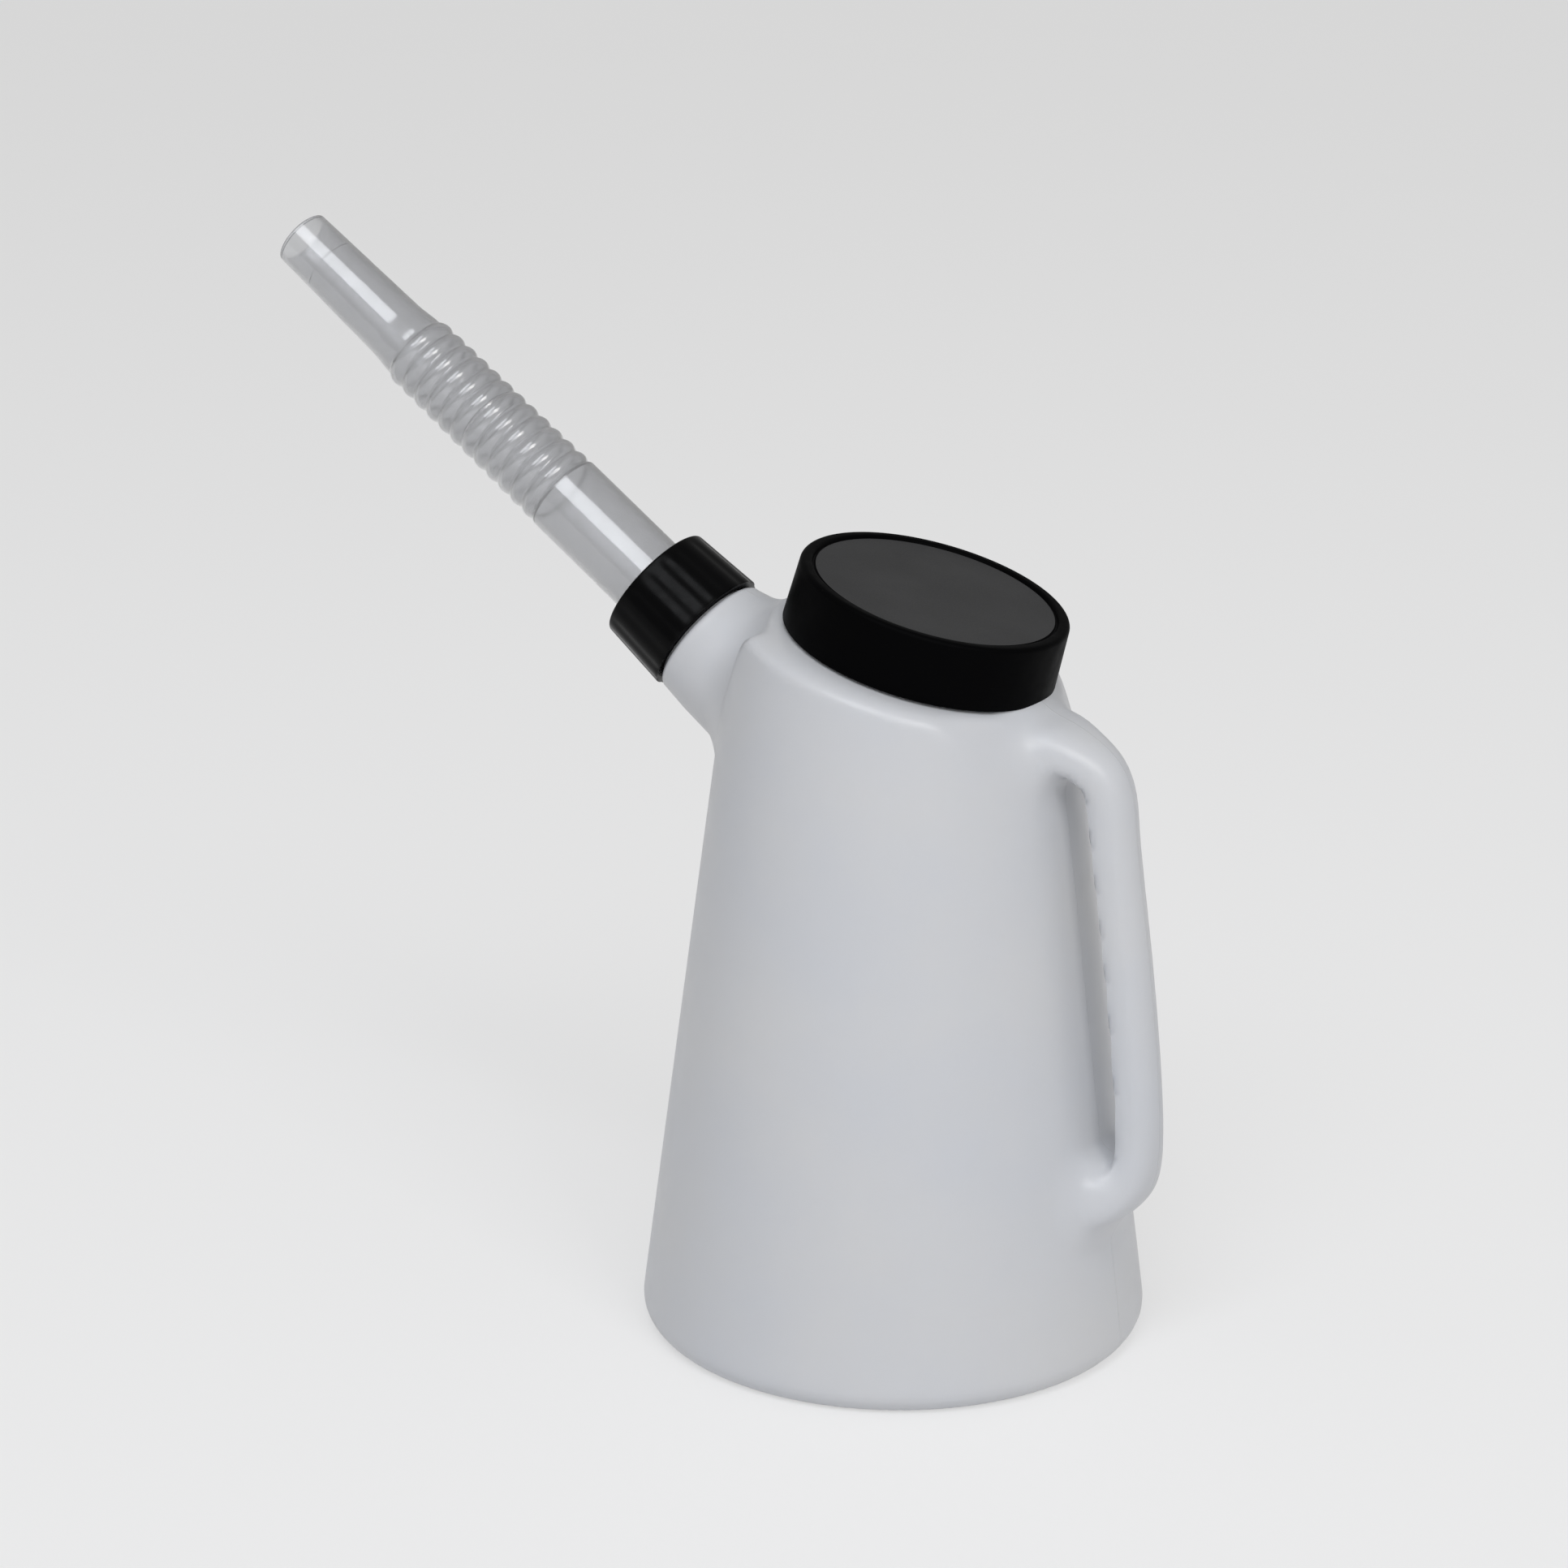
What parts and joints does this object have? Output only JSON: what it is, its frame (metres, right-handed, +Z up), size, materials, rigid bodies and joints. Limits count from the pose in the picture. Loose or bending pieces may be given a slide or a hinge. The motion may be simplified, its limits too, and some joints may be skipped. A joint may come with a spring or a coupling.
{
  "type": "oil jug",
  "caption": "Conical blow-moulded oil jug with a hollow side handle, a tilted screw lid and a ribbed flexible pouring spout held by a union nut.",
  "frame": {"origin": "centre of the round base, on the floor", "axes": "+Z up, the spout points to -X and up, the handle is at +X, the jug is symmetrical about the XZ plane"},
  "size_m": [0.3953, 0.1998, 0.4193],
  "materials": {
    "milky_plastic": "milky white polyethylene, soft sheen",
    "lid_plastic": "black moulded plastic, fine matte grain",
    "seal_foam": "grey foam ring",
    "nut_plastic": "black moulded plastic, satin",
    "gasket_rubber": "black rubber",
    "clear_plastic": "clear flexible plastic, slightly grey, glossy"
  },
  "bodies": {
    "jug": {"jug_body": "milky_plastic"},
    "lid_lifter": {"lid_seal": "seal_foam"},
    "lid_cap": {"lid": "lid_plastic"},
    "spout_carrier": {"spout_gasket": "gasket_rubber"},
    "nut": {"spout_nut": "nut_plastic"},
    "spout_lower": {"spout_base": "clear_plastic"},
    "spout_middle": {"spout_bellows": "clear_plastic"},
    "spout_upper": {"spout_tip": "clear_plastic"}
  },
  "joints": [
    {"name": "lid_lift", "type": "slide", "parent": "jug", "child": "lid_lifter", "axis": [0.2773, 0, 0.9608], "range_m": [0, 0.048]},
    {"name": "lid_turn", "type": "hinge", "parent": "lid_lifter", "child": "lid_cap", "pos_m": [0.0083, 0, 0.2723], "axis": [0.2773, 0, 0.9608], "range_deg": [0, 1440]},
    {"name": "spout_draw", "type": "slide", "parent": "jug", "child": "spout_carrier", "axis": [-0.8005, 0, 0.5993], "range_m": [0, 0.032]},
    {"name": "nut_turn", "type": "hinge", "parent": "spout_carrier", "child": "nut", "pos_m": [-0.1023, 0, 0.2808], "axis": [-0.8005, 0, 0.5993], "range_deg": [0, 1440]},
    {"name": "spout_swivel", "type": "hinge", "parent": "spout_carrier", "child": "spout_lower", "pos_m": [-0.1023, 0, 0.2808], "axis": [-0.8005, 0, 0.5993], "range_deg": [-180, 180]},
    {"name": "bend_lower", "type": "hinge", "parent": "spout_lower", "child": "spout_middle", "pos_m": [-0.1673, 0, 0.32946], "axis": [0, 1, 0], "range_deg": [-30, 30], "stiffness_Nm_per_rad": 0.5, "deforming": ["spout_bellows"]},
    {"name": "bend_upper", "type": "hinge", "parent": "spout_middle", "child": "spout_upper", "pos_m": [-0.2014, 0, 0.35499], "axis": [0, 1, 0], "range_deg": [-30, 30], "stiffness_Nm_per_rad": 0.5, "deforming": ["spout_bellows"]}
  ],
  "couplings": [
    {"joint": "lid_turn", "follows": "lid_lift", "rad_per_m": 523.5},
    {"joint": "nut_turn", "follows": "spout_draw", "rad_per_m": 785.3},
    {"joint": "bend_upper", "follows": "bend_lower", "ratio": 1}
  ]
}
